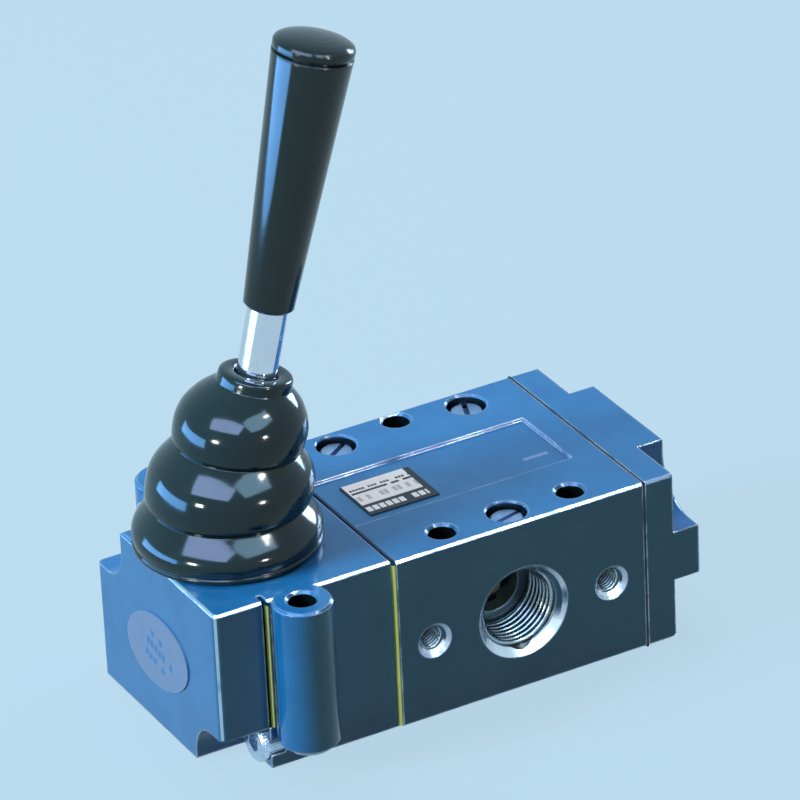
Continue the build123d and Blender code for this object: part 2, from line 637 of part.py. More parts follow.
def drive_piece():
    """Slotted end of the spool that the lever's ball pushes to and fro."""
    shape = rod_from((BALL_X - DRIVE_HALF, 0, AXIS_Z), (1, 0, 0), DRIVE_R, 2 * DRIVE_HALF)
    slot = BALL_R + SLOT_ROOM
    top = AXIS_Z + DRIVE_R
    shape -= block(BALL_X - slot, BALL_X + slot, -DRIVE_R, DRIVE_R, AXIS_Z - DRIVE_WEB, top)
    shape -= block(BALL_X - DRIVE_HALF, BALL_X + DRIVE_HALF, -DRIVE_R, DRIVE_R, AXIS_Z + DRIVE_TOP, top)
    neck_start = BALL_X + DRIVE_HALF
    shape += rod_from((neck_start, 0, AXIS_Z), (1, 0, 0), DRIVE_NECK_R, SPOOL_X0 - neck_start)
    stud = SPOOL_X0 + DRIVE_STUD_LENGTH - neck_start
    return shape + rod_from((neck_start, 0, AXIS_Z), (1, 0, 0), DRIVE_STUD_R, stud)


def spool_seals():
    half = SEAL_WIDTH / 2
    return Compound([ring(x - half, x + half, BORE_R, SPOOL_R + SPOOL_FIT) for x in SEALS])


def spacer(x):
    """Pierced ring that holds two seals apart and lets air through at a port."""
    half = (GALLERY_PITCH - SEAL_WIDTH) / 2
    shape = ring(x - half, x + half, BORE_R - SPACER_ROOM, SPACER_BORE)
    for i in range(SPACER_SLOTS):
        turn = Pos(x, 0, AXIS_Z) * Rot(360 * i / SPACER_SLOTS, 0, 0)
        shape -= turn * Box(SPACER_SLOT, SPACER_SLOT, BORE_R, align=RAISE)
    return shape


def spool_spacers():
    return Compound([spacer(x) for x in GALLERIES])


def end_rings():
    outer = BORE_R - SPACER_ROOM
    half = SEAL_WIDTH / 2
    first = ring(HEAD_JOINT, SEALS[0] - half, outer, SPACER_BORE)
    return Compound([first, ring(SEALS[-1] + half, CAP_JOINT, outer, SPACER_BORE)])


# --- return spring ---
def spring_guide():
    disc = rod_from((CHAMBER_END, 0, AXIS_Z), (-1, 0, 0), GUIDE_R, GUIDE_DISC)
    return disc + rod_from((CHAMBER_END, 0, AXIS_Z), (-1, 0, 0), GUIDE_PEG_R, GUIDE_DISC + GUIDE_PEG_LENGTH)


def return_spring():
    start = SPOOL_X1 - SPRING_BORE_DEPTH + SPRING_END_ROOM + WIRE_R
    end = CHAMBER_END - GUIDE_DISC - WIRE_R
    length = end - start
    path = Helix(length / SPRING_TURNS, length, SPRING_R)
    section = RegularPolygon(WIRE_R, WIRE_SIDES)
    wire = sweep(Plane(origin=path @ 0, z_dir=path % 0) * section, path, is_frenet=True)
    return Plane(origin=(start, 0, AXIS_Z), z_dir=(1, 0, 0)) * wire


VALVE_NODES = [
    valve_body, name_plate, top_screws, end_cap, end_cap_gasket, end_cap_screws,
    lever_housing, housing_gasket, housing_screws, pivot_keeper, keeper_screws, end_label, boot,
    spool, drive_piece, spool_seals, spool_spacers, end_rings, spring_guide, return_spring,
]
LEVER_NODES = [lever_hub, pivot_bush, foot_ball, rod_nut, lever_rod, hand_grip, grip_cap]


def main():
    os.makedirs("parts", exist_ok=True)
    for make in VALVE_NODES:
        save(make.__name__, make())
    for make in LEVER_NODES:
        save(make.__name__, lever_place(make()))
    save("pivot_pin", pin_groove())


main()
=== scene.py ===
# %% [markdown]
# # A hand lever air valve
# A lever tips over a pivot and pushes a spool through the valve body. This file dresses the
# measured model of the valve: it loads the parts, sets the camera and the lights, gives every
# part its finish, and builds the few pieces that a plain solid can't show well.
# %% Load the measured parts
import bmesh, bpy, json
from math import cos, pi, radians, sin
from mathutils import Matrix, Vector


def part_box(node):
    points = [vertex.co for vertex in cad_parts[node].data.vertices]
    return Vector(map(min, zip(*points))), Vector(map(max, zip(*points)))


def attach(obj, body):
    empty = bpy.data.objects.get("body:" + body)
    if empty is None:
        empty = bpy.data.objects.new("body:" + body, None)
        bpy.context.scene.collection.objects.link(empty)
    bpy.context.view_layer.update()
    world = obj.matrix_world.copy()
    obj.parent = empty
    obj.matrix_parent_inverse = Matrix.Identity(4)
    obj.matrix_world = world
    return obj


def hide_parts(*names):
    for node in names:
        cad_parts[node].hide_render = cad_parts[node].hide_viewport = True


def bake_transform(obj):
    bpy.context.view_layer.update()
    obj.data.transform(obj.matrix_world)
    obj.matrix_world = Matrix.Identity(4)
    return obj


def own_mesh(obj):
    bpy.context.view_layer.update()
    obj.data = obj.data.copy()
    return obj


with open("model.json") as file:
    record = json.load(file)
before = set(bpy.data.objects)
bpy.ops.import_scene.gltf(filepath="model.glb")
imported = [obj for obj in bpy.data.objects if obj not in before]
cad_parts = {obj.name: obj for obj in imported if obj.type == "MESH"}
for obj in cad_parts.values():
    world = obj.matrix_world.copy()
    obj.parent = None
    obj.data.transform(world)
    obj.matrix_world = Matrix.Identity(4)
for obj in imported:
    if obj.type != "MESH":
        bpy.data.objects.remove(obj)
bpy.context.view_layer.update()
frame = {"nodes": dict(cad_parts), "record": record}  # frame["bodies"], ["nodes"], ["joints"], ["record"]
nodes = frame["nodes"]
MM = 0.001

# %% [markdown]
# ## Places to hang things on
# Every position comes from the measured parts themselves, so nothing has to be fitted by eye. The
# body and the lever head are boxes, and their corners give the faces. The middle of the pin is the
# point that the lever turns about, and at rest the lever leans over from the upright.
# %% Faces and axes of the valve
def corners_of(name):
    """Lower and upper corner of a measured part."""
    return [Vector(corner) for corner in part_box(name)]


def add(name, data):
    """Puts a mesh, a camera or a lamp into the scene as an object at the origin."""
    made = bpy.data.objects.new(name, data)
    bpy.context.scene.collection.objects.link(made)
    return made


BODY_LO, BODY_HI = corners_of("valve_body")
HEAD_LO = corners_of("lever_housing")[0]
PIVOT = sum(corners_of("pivot_pin"), Vector()) / 2
TOP = BODY_HI.z
LEAN = radians(13.95)
print("top face", round(TOP, 4), "pivot", [round(c, 4) for c in PIVOT])

# %% [markdown]
# ## Camera
# A boxy product looks best through a long lens from far away, which keeps its sides almost parallel.
# A short lens close by would make the near corner too large. The camera's own axes are written as
# three unit vectors, right, up and back, and these are the columns of its turn.
# %% Camera
RIGHT = Vector((0.8702970634, -0.4907230607, -0.0421176811))
UP = Vector((0.2683696693, 0.4007689880, 0.8759919742))
BACKWARD = Vector((-0.4129900023, -0.7736763509, 0.4804832589))
EYE = Vector((-0.53979, -0.98989, 0.67167))
LENS_MM, SENSOR_MM, FAR_END = 289.57, 36.0, 20.0
camera_data = bpy.data.cameras.new("long_lens")
camera_data.lens, camera_data.sensor_width = LENS_MM, SENSOR_MM
camera_data.clip_end = FAR_END
camera = add("long_lens", camera_data)
turn = Matrix((RIGHT, UP, BACKWARD)).transposed().to_4x4()
camera.matrix_world = Matrix.Translation(EYE) @ turn
bpy.context.scene.camera = camera
bpy.context.scene.view_settings.view_transform = "Standard"
print("camera distance", round(EYE.length, 3))


# %% [markdown]
# ## Sums on sockets
# A finish is a sum of patterns. Nodes written one by one hide the sum, so this small class wraps an
# output: adding or multiplying wires makes the Math nodes, and `node` makes any other. A comparison
# gives 1 or 0, so times means "and", and the upright bar, the larger of two, means "or".
# %% A wire that can be added and multiplied
class Wire:
    def __init__(self, tree, out=None):
        self.tree, self.out = tree, out

    def feed(self, socket, value):
        if isinstance(value, Wire):
            self.tree.links.new(value.out, socket)
        else:
            socket.default_value = value

    def node(self, kind, settings=None, inputs=None, out=0):
        made = self.tree.nodes.new(kind)
        for key, value in (settings or {}).items():
            setattr(made, key, value)
        for key, value in (inputs or {}).items():
            self.feed(made.inputs[key], value)
        return Wire(self.tree, made.outputs[out])

    def maths(self, operation, *values):
        return self.node("ShaderNodeMath", {"operation": operation}, dict(enumerate(values)))

    def __add__(self, other):
        return self.maths("ADD", self, other)

    def __radd__(self, other):
        return self.maths("ADD", other, self)

    def __sub__(self, other):
        return self.maths("SUBTRACT", self, other)

    def __rsub__(self, other):
        return self.maths("SUBTRACT", other, self)

    def __mul__(self, other):
        return self.maths("MULTIPLY", self, other)

    def __rmul__(self, other):
        return self.maths("MULTIPLY", other, self)

    def __abs__(self):
        return self.maths("ABSOLUTE", self)

    def __lt__(self, limit):
        return self.maths("LESS_THAN", self, limit)

    def __gt__(self, limit):
        return self.maths("GREATER_THAN", self, limit)

    def __or__(self, other):
        return self.maths("MAXIMUM", self, other)

    def __ror__(self, other):
        return self.maths("MAXIMUM", other, self)

    def __mod__(self, step):
        return self.maths("FLOORED_MODULO", self, step)


# %% [markdown]
# ## Helpers for finishes
# No real surface has one flat colour: paint is cloudy, metal is brushed, edges are rubbed. Image
# textures could be wrapped round the parts, but patterns worked out from the place on the part need
# no unwrapping and stay sharp close up. They read Object coordinates, in metres, so a noise of scale
# 1000 has grains a millimetre wide. Each finish starts from a Principled shader.
# %% Start a finish
class Finish:
    def __init__(self, name, **fixed):
        self.material = bpy.data.materials.new(name)
        self.material.use_nodes = True
        tree = self.material.node_tree
        self.shader = tree.nodes["Principled BSDF"]
        self.wire = Wire(tree)
        for key, value in fixed.items():
            self.shader.inputs[key.replace("_", " ")].default_value = value
        self.place = self.wire.node("ShaderNodeTexCoord", out="Object")
        split = self.wire.node("ShaderNodeSeparateXYZ", None, {0: self.place}).out.node
        self.x, self.y, self.z = (Wire(tree, out) for out in split.outputs)

    def set(self, **values):
        for key, value in values.items():
            self.wire.feed(self.shader.inputs[key.replace("_", " ")], value)

    def noise(self, scale, detail=3.0, roughness=0.55, where=None):
        """Soft clouds from 0 to 1."""
        inputs = {"Vector": where or self.place, "Scale": scale, "Detail": detail, "Roughness": roughness}
        return self.wire.node("ShaderNodeTexNoise", None, inputs)

    def chance(self, where):
        """A number from 0 to 1 drawn by lot, always the same one for the same value."""
        return self.wire.node("ShaderNodeTexWhiteNoise", {"noise_dimensions": "1D"}, {"W": where})

    def spread(self, value, low, high):
        """0 up to a low value, 1 from a high value on, and a slope between them."""
        inputs = {0: value, 1: low, 2: high, 3: 0.0, 4: 1.0}
        return self.wire.node("ShaderNodeMapRange", {"clamp": True}, inputs)

    def mix(self, factor, a, b):
        return self.wire.node("ShaderNodeMix", {"data_type": "RGBA"}, {0: factor, 6: a, 7: b}, out=2)

    def blend(self, factor, a, b):
        return self.wire.node("ShaderNodeMix", {"data_type": "FLOAT"}, {0: factor, 2: a, 3: b})

    def turned(self, turn=(0, 0, 0), scale=(1, 1, 1)):
        """The place on the part, turned and stretched, which draws a noise out into streaks."""
        inputs = {"Vector": self.place, "Rotation": turn, "Scale": scale}
        return self.wire.node("ShaderNodeMapping", {"vector_type": "POINT"}, inputs)

    def bump(self, height, distance, strength=1.0, under=None):
        """Normal of a surface with small hills, on top of the normal that is handed in."""
        inputs = {"Height": height, "Distance": distance, "Strength": strength}
        if under:
            inputs["Normal"] = under
        return self.wire.node("ShaderNodeBump", None, inputs)

    def disc(self, a, b, centre, radius):
        """1 inside a circle round a centre, in the plane of two coordinates."""
        da, db = a - centre[0], b - centre[1]
        return (da * da + db * db) < radius * radius

    def soft_edge(self, radius):
        """Normal that runs round the piece's sharp edges as if they were broken."""
        return self.wire.node("ShaderNodeBevel", {"samples": 6}, {"Radius": radius})

    def edge(self, rounded):
        """1 along the sharp edges, worked out from how far the rounded normal turns."""
        flat = self.wire.node("ShaderNodeNewGeometry", out="Normal")
        pair = {0: rounded, 1: flat}
        same = self.wire.node("ShaderNodeVectorMath", {"operation": "DOT_PRODUCT"}, pair, out="Value")
        return self.spread(1 - same, 0.01, 0.10)

    def slant(self):
        """1 on the small slanting faces that break the edges, 0 on faces square to the block."""
        flat = self.wire.node("ShaderNodeNewGeometry", out="Normal")
        split = self.wire.node("ShaderNodeSeparateXYZ", None, {0: flat}).out.node
        nx, ny, nz = (abs(Wire(self.wire.tree, out)) for out in split.outputs)
        steepest = nx | ny | nz
        return (steepest < 0.85) * (steepest > 0.6)


def dress(finish, *names):
    """Gives the finish to measured parts."""
    for name in names:
        for slot in nodes[name].material_slots:
            slot.material = finish.material


# %% [markdown]
# ## Backdrop and floor
# The valve stands on pale blue paper that runs up behind it without a horizon. Real paper would need
# its own lamps to look even. Here the floor glows in its own colour for the camera and for mirror
# surfaces, and a small share of true shading leaves a faint shadow. Light that comes back up from
# it is dim, since a bright floor would wash out the dark front.
# %% Floor
PALE, FLOOR_BOUNCE = (0.497, 0.686, 0.823, 1.0), (0.16, 0.18, 0.08, 1.0)
FLOOR_HALF, FLOOR_DROP = 3.0, 0.2 * MM
EVEN_SHARE, PAPER_GLOW = 0.90, 1.03


def seen(wire):
    """1 for rays straight from the camera, and 1 for those and for mirrored and refracted rays."""
    rays = wire.node("ShaderNodeLightPath").out.node.outputs
    direct = Wire(wire.tree, rays["Is Camera Ray"])
    mirrored, refracted = Wire(wire.tree, rays["Is Glossy Ray"]), Wire(wire.tree, rays["Is Transmission Ray"])
    return direct, direct | mirrored | refracted


corners = [(x * FLOOR_HALF, y * FLOOR_HALF, 0) for x, y in ((-1, -1), (1, -1), (1, 1), (-1, 1))]
floor_mesh = bpy.data.meshes.new("floor")
floor_mesh.from_pydata(corners, [], [(0, 1, 2, 3)])
floor = add("floor", floor_mesh)
floor.location.z = -FLOOR_DROP

paper = bpy.data.materials.new("blue_paper")
paper.use_nodes = True
paper.node_tree.nodes.clear()
sheet = Wire(paper.node_tree)
direct, shown = seen(sheet)
even = sheet.node("ShaderNodeEmission", None, {"Color": PALE, "Strength": PAPER_GLOW})
tone = sheet.node("ShaderNodeMix", {"data_type": "RGBA"}, {0: direct, 6: FLOOR_BOUNCE, 7: PALE}, out=2)
lit = sheet.node("ShaderNodeBsdfDiffuse", None, {"Color": tone})
both = sheet.node("ShaderNodeMixShader", None, {0: shown * EVEN_SHARE, 1: lit, 2: even})
output = paper.node_tree.nodes.new("ShaderNodeOutputMaterial")
sheet.feed(output.inputs["Surface"], both)
floor_mesh.materials.append(paper)
print("floor", 2 * FLOOR_HALF, "m wide")

# %% [markdown]
# ## Room
# The room round the paper does two jobs. Gloss paint and rubber mirror it, so for those rays it has
# the paper's pale blue. As a light it has to stay weak and a little warm, since the lamps shape the
# valve and fill its shade only slightly. One background can't be both, so the kind of ray decides.
# %% Room
AMBIENT, ROOM_TINT = 0.10, (0.80, 0.85, 0.30, 1.0)
sky = bpy.data.worlds.new("pale_blue_room")
bpy.context.scene.world = sky
sky.use_nodes = True
sky.node_tree.nodes.clear()
air = Wire(sky.node_tree)
room = air.node("ShaderNodeBackground", None, {"Color": ROOM_TINT, "Strength": AMBIENT})
wall = air.node("ShaderNodeBackground", None, {"Color": PALE, "Strength": 1.0})
both = air.node("ShaderNodeMixShader", None, {0: seen(air)[1], 1: room, 2: wall})
output = sky.node_tree.nodes.new("ShaderNodeOutputWorld")
air.feed(output.inputs["Surface"], both)
print("room light", AMBIENT)


# %% [markdown]
# ## Lights
# The box reads best with a bright left end, a middle tone on top and the front in shade. A key lamp
# beyond the lever's end, a lamp overhead and a rim lamp on the right do that. Gloss rubber would
# show each of them as a pane in the wrong place, so the key and the overhead lamp are hidden from
# mirror surfaces, and lamps that only those see draw the panes and the bright points.
# %% Soft boxes
AIM = Vector((-0.02, 0, 0.04))


def soft_box(name, bearing, height, away, size, power, colour, diffuse=True, glossy=True):
    """Area light aimed at the valve: bearing in degrees from the front towards the lever's end."""
    b, h = radians(bearing), radians(height)
    place = AIM + away * Vector((-sin(b) * cos(h), -cos(b) * cos(h), sin(h)))
    data = bpy.data.lights.new(name, "AREA")
    data.shape = "RECTANGLE"
    data.size, data.size_y = size
    data.energy = power
    data.color = colour
    lamp = add(name, data)
    lamp.location = place
    lamp.rotation_euler = (place - AIM).to_track_quat("Z", "Y").to_euler()
    lamp.visible_camera = False
    lamp.visible_diffuse = diffuse
    lamp.visible_glossy = glossy
    print(name, "at", [round(c, 2) for c in place])


KEY_BLUE, NEAR_WHITE, RIM_BLUE = (0.36, 0.86, 1.0), (1.0, 0.95, 1.0), (0.50, 0.72, 1.0)
LAVENDER, TEAL = (0.42, 0.58, 1.0), (0.42, 0.72, 1.0)
STRONG_BLUE, WARM_WHITE = (0.16, 0.46, 1.0), (1.0, 0.99, 0.93)
soft_box("key", 98, 28, 1.1, (0.36, 0.4), 14.0, KEY_BLUE, glossy=False)
soft_box("overhead", 178, 72, 1.1, (0.5, 0.5), 6.6, NEAR_WHITE, glossy=False)
soft_box("right_rim", -110, 14, 1.1, (0.3, 0.4), 8.0, RIM_BLUE)
for mirrored_lamp in (
    ("edge_lamp", -41, 51, 1.0, (0.16, 0.10), 1.6, WARM_WHITE),
    ("pane_left", 60, 49, 0.9, (0.80, 0.44), 10.5, LAVENDER),
    ("pane_right", -18, 52, 0.9, (0.62, 0.40), 4.6, TEAL),
    ("side_card", 113, 3, 0.5, (0.48, 0.16), 3.0, STRONG_BLUE),
    ("lamp_left", 70, 13, 1.0, (0.16, 0.12), 3.6, WARM_WHITE),
    ("lamp_right", -14, 16, 1.0, (0.10, 0.09), 1.8, WARM_WHITE),
):
    soft_box(*mirrored_lamp, diffuse=False)

# %% [markdown]
# ## Blue enamel on the castings
# The body, the head and the cap are cast and painted under a thin clear gloss. The holes were cut
# after painting, so their walls, lips and threads are bare. The port walls and the openings in the top
# are darkened as painted shade, a painted highlight lines the panel's edge, and the bare edges are
# partly wear and partly painted highlight. Painting each face by hand would tie the finish to one
# mesh; instead it works out from the place on the part where the holes are, and the record gives
# their places and sizes.
# %% Holes cut after painting
mounts = {m["name"]: m for m in frame["record"]["mounts"]}


def ports(*kinds):
    """Middle and radius of the ports whose names start in one of these ways."""
    return [(m["pos_m"], m["dims"]["r_mm"] * MM) for name, m in mounts.items() if name.startswith(kinds)]


holes_front, holes_back = ports("inlet", "exhaust"), ports("outlet")
print(len(holes_front), "front and", len(holes_back), "back ports")


# %% [markdown]
# ## Bare places and painted shade
# A port is bare on its wall, which is darkened as painted shade, and, lower down, on the slanting lip
# that the tool broke, where the bare metal of the lower half is a painted highlight. Both lie inside
# a circle round the port's middle and behind the painted face, so two comparisons find them. Deep
# openings in the top get painted shade, and the same kind of circle, below the top face, finds those.
# %% Find the bare and the dark places
FACE_SKIN = 0.05 * MM
HOLE_FLOOR = 0.3 * MM
WALL_REACH, RIM_REACH = 1.03, 1.27
LINE_DEPTH = BODY_HI.z - 0.7 * MM
face_at = {-1: -BODY_LO.y, 1: BODY_HI.y}


def cut_ports(finish, front, back):
    """1 on the bare metal of the ports, and 1 on their walls alone."""
    bare = wall = 0.0
    for side, found in ((-1, front), (1, back)):
        out = finish.y * side
        inside = (out < face_at[side] - FACE_SKIN) * (out > 0.0)
        for centre, radius in found:
            spot = (centre[0], centre[2])
            hole = inside * finish.disc(finish.x, finish.z, spot, radius * WALL_REACH)
            # The lip is bare only on its lower half: a painted highlight where the lip catches the light.
            low = finish.spread(centre[2] - finish.z, 0.25 * radius, 0.6 * radius)
            rim = inside * finish.disc(finish.x, finish.z, spot, radius * RIM_REACH) * low
            bare, wall = bare | hole | rim, wall | hole
    return bare, wall


def painted_hole_shade(finish, top):
    """1 inside the openings in the top, where the colour is painted shade."""
    dark = 0.0
    for centre, radius, depth in top:
        below = (finish.z < BODY_HI.z - depth) * (finish.z > HOLE_FLOOR)
        dark = dark | finish.disc(finish.x, finish.y, centre, radius) * below
    return dark


print("faces with ports at", [round(side * y / MM, 2) for side, y in face_at.items()], "mm")

# %% [markdown]
# ## Enamel on a casting
# The enamel is a cloudy blue with very little metal in it and a thin clear coat. Two tones and a fine
# grain keep it from looking like plastic. Where the paint is gone, the same finish turns into bare
# alloy: a mask goes from 0 to 1 and carries colour, metal, roughness and coat over together.
# %% Casting finish
BLUE, DEEP_BLUE = (0.022, 0.19, 0.48, 1), (0.016, 0.155, 0.41, 1)
BARE, BARE_DARK = (0.86, 0.88, 0.90, 1), (0.62, 0.65, 0.70, 1)
# Below: a painted highlight for the panel's edge, painted shade for the openings in the top, and painted shade
# for the bare port walls.
PAINTED_EDGE_HIGHLIGHT, PAINTED_HOLE_SHADE, PAINTED_WALL_SHADE = (0.26, 0.36, 0.66, 1), (0.006, 0.012, 0.014, 1), (0.16, 0.20, 0.21, 1)
# The third share is how much metal the bare edges get; they are partly wear and partly painted highlight.
METAL_SHARE, COAT, EDGE_WEAR_HIGHLIGHT_SHARE, LINE_SHARE = 0.06, 0.3, 0.85, 0.8
GRAIN_HEIGHT = 0.008 * MM


def casting(name, front=(), back=(), top=(), lines=(), softness=0.5 * MM, wear_highlight_where=None):
    """Blue enamel with bare ports, painted shade in the holes and port walls, painted highlight lines, and bare
    edges that are partly wear and partly painted highlight.
    """
    finish = Finish(name, Coat_Roughness=0.08, IOR=1.5, Specular_IOR_Level=0.4)
    cloud = finish.spread(finish.noise(70.0, 4.0), 0.35, 0.65)
    grain = finish.noise(2400.0, 2.0)
    rounded = finish.soft_edge(softness)
    # Bare edges, partly wear and partly a painted highlight standing in for light caught on the edges.
    edge_wear_highlight = finish.edge(rounded) * finish.spread(finish.noise(180.0, 3.0), 0.3, 0.55)
    if wear_highlight_where is not None:
        patches = finish.spread(finish.noise(150.0, 3.0), 0.25, 0.5)
        edge_wear_highlight = edge_wear_highlight | finish.slant() * patches * wear_highlight_where(finish)
    bare, wall = cut_ports(finish, front, back)
    # Painted shade inside the openings in the top and the screw recesses.
    dark = painted_hole_shade(finish, top)
    paint = finish.mix(cloud, BLUE, DEEP_BLUE)
    # Painted highlight along the panel's edge and on the small raised mark.
    for x0, x1, y0, y1 in lines:
        within = (finish.x > x0) * (finish.x < x1) * (finish.y > y0) * (finish.y < y1)
        paint = finish.mix(within * (finish.z > LINE_DEPTH) * LINE_SHARE, paint, PAINTED_EDGE_HIGHLIGHT)
    # Port walls get a darker alloy colour, painted shade inside the hole.
    alloy = finish.mix(wall, finish.mix(cloud, BARE, BARE_DARK), PAINTED_WALL_SHADE)
    metal = bare | edge_wear_highlight * EDGE_WEAR_HIGHLIGHT_SHARE
    # The openings in the top take the painted shade colour, with no metal or coat.
    colour = finish.mix(dark, finish.mix(metal, paint, alloy), PAINTED_HOLE_SHADE)
    metal = metal * (1 - dark)
    finish.set(Base_Color=colour, Metallic=finish.blend(metal, METAL_SHARE, 1.0))
    finish.set(Roughness=finish.blend(metal, 0.15 + cloud * 0.05 + grain * 0.05, 0.24 + cloud * 0.1))
    finish.set(Coat_Weight=finish.blend(metal, COAT, 0.0) * (1 - dark))
    finish.set(Normal=finish.bump(grain, GRAIN_HEIGHT, 0.5, rounded))
    print(name, "with", len(finish.wire.tree.nodes), "nodes")
    return finish


# %% [markdown]
# ## Openings and the panel on the top
# From above one sees mounting holes, the recesses of three screws and a thin bright line round the
# shallow panel that carries the plate. The holes and the recesses get painted shade; the holes come
# from the record and the recesses from the screws' own box. The line is the lit edge of the panel,
# a painted highlight in two narrow rectangles, and a third puts the same highlight on a small raised mark.
# %% Holes, screw recesses and the panel's edges from above
SHADE_DEPTH = 0.55 * MM
SCREW_R, RECESS_R = 3.6 * MM, 4.5 * MM
pattern = mounts["front_mounting_holes"]
reach = pattern["dims"]["spacing_x_mm"] * MM / 2
pattern_r = pattern["dims"]["hole_r_mm"] * MM * WALL_REACH
body_top = [((x, pattern["pos_m"][1]), pattern_r, SHADE_DEPTH) for x in (-reach, reach)]
head_top = []
for name, mount in mounts.items():
    if mount["kind"] == "bore":
        kept = head_top if name.startswith("head") else body_top
        kept.append((mount["pos_m"][:2], mount["dims"]["r_mm"] * MM * WALL_REACH, SHADE_DEPTH))
top_lo, top_hi = corners_of("top_screws")
screw_places = [(x, top_hi.y - SCREW_R) for x in (top_lo.x + SCREW_R, top_hi.x - SCREW_R)]
screw_places.append((0.0, top_lo.y + SCREW_R))
# The screw recesses get painted shade as well.
body_top += [(place, RECESS_R, SHADE_DEPTH) for place in screw_places]
PANEL_LENGTH, PANEL_HALF, PANEL_CORNER, LINE_HALF = 50.2 * MM, 9.9 * MM, -3.0 * MM, 0.33 * MM
PANEL_END = BODY_LO.x + PANEL_LENGTH
# A small raised mark gets the same painted highlight as the panel's edge.
raised_mark = (13.8 * MM, 19.4 * MM, -4.8 * MM, -3.8 * MM)
panel_highlights = [
    (BODY_LO.x, PANEL_END + LINE_HALF, PANEL_HALF - LINE_HALF, PANEL_HALF + LINE_HALF),
    (PANEL_END - LINE_HALF, PANEL_END + LINE_HALF, PANEL_CORNER, PANEL_HALF),
    raised_mark,
]
print(len(body_top), "dark openings in the body,", len(head_top), "in the head")

# %% [markdown]
# ## Painting the castings
# The bare edges are partly wear, since handling rubs a casting on its outer edges first, and partly a
# painted highlight that stands in for light caught on the edges. Brightening every slanting edge would
# also light the rims of the small holes, which stay dark, so a mask keeps the bare edges to the outer
# edges of the body and to the front of the head's block. The cap keeps only the bare edges at its corners.
# %% Paint the three castings
RIM_WIDTH = 0.8 * MM
BLOCK_FOOT = 9.6 * MM
gasket_lo, gasket_hi = corners_of("housing_gasket")
block_front = gasket_lo.y - 0.03 * MM


def outer_edges(finish):
    """1 on the body's outer edges, so that the rims of the holes in its top stay painted."""
    return (abs(finish.y) > BODY_HI.y - RIM_WIDTH) | (abs(finish.x) > BODY_HI.x - RIM_WIDTH)


def front_block(finish):
    """1 on the head's plain block, without the corner columns that stand out from it."""
    return (finish.y > block_front) * (finish.y < 0.0) * (finish.z > BLOCK_FOOT)


# The masks below keep the bare edges, partly wear and partly painted highlight, to the body's outer edges and
# the block's front.
body_paint = casting("blue_casting_body", holes_front, holes_back, body_top, panel_highlights, wear_highlight_where=outer_edges)
dress(body_paint, "valve_body")
dress(casting("blue_casting_head", top=head_top, softness=0.6 * MM, wear_highlight_where=front_block), "lever_housing")
dress(casting("blue_casting_cap", softness=0.6 * MM), "end_cap")
print("front of the head's block at", round(block_front / MM, 2), "mm")

# %% [markdown]
# ## Rubber
# The boot and the rings are moulded rubber, nearly black with a little blue. Gloss paint could stand
# in for it, but rubber has a skin that is wet-looking in some places and dull in others, so one soft
# noise moves the colour, the roughness and the clear coat together.
# %% Black rubber
rubber = Finish("black_rubber", Specular_IOR_Level=0.42, Coat_Roughness=0.03)
rubber_cloud = rubber.spread(rubber.noise(120.0), 0.3, 0.7)
rubber.set(Base_Color=rubber.mix(rubber_cloud, (0.001, 0.016, 0.022, 1), (0.002, 0.024, 0.030, 1)))
rubber.set(Roughness=0.09 + rubber_cloud * 0.06, Coat_Weight=0.22 - rubber_cloud * 0.12)
rubber.set(Normal=rubber.bump(rubber.noise(500.0, 4.0), 0.010 * MM, 0.3))
dress(rubber, "spool_seals")
print("rubber on the seals, and later on the boot")

# %% [markdown]
# ## Polished plastic
# The grip is pressed from hard black plastic and polished, so it is smoother than the rubber. Its
# ends are turned over with a small round, which the finish adds to the shading alone: the normal
# bends near the edge as a true round would bend it, and the mesh stays light.
# %% Polished plastic of the grip
plastic = Finish("black_plastic", Specular_IOR_Level=0.42, Coat_Roughness=0.02)
plastic_cloud = plastic.spread(plastic.noise(60.0), 0.3, 0.7)
plastic.set(Base_Color=plastic.mix(plastic_cloud, (0.001, 0.010, 0.010, 1), (0.002, 0.016, 0.016, 1)))
plastic.set(Roughness=0.07 + plastic_cloud * 0.04, Coat_Weight=0.3 - plastic_cloud * 0.12)
plastic.set(Normal=plastic.bump(plastic.noise(300.0, 3.0), 0.006 * MM, 0.4, plastic.soft_edge(1.0 * MM)))
dress(plastic, "hand_grip", "grip_cap")
print("plastic on the grip and its cap")

# %% [markdown]
# ## Metals
# The rod is chrome, the screws are zinc plated, the pin and the ball are ground steel. They differ in
# colour, in roughness and in the way the tool left its marks, so one function makes them all: a
# noise, drawn out into streaks along the rod or left even, breaks up both colour and shine.
# %% Metals
def metal(name, light, dark, rough, wear, streak=(1, 1, 1), lean=0.0, edge_radius=0.2 * MM):
    """Metal between two tones, whose streaks add up to `wear` to its roughness."""
    finish = Finish(name, Metallic=1.0)
    along = finish.turned(turn=(0, lean, 0), scale=streak)
    lines = finish.spread(finish.noise(1.0, 4.0, 0.6, along), 0.3, 0.7)
    stain = finish.spread(finish.noise(220.0), 0.35, 0.65)
    finish.set(Base_Color=finish.mix(lines * 0.5 + stain * 0.5, light, dark))
    finish.set(Roughness=rough + lines * wear)
    finish.set(Normal=finish.bump(lines, 0.004 * MM, 0.5, finish.soft_edge(edge_radius)))
    return finish


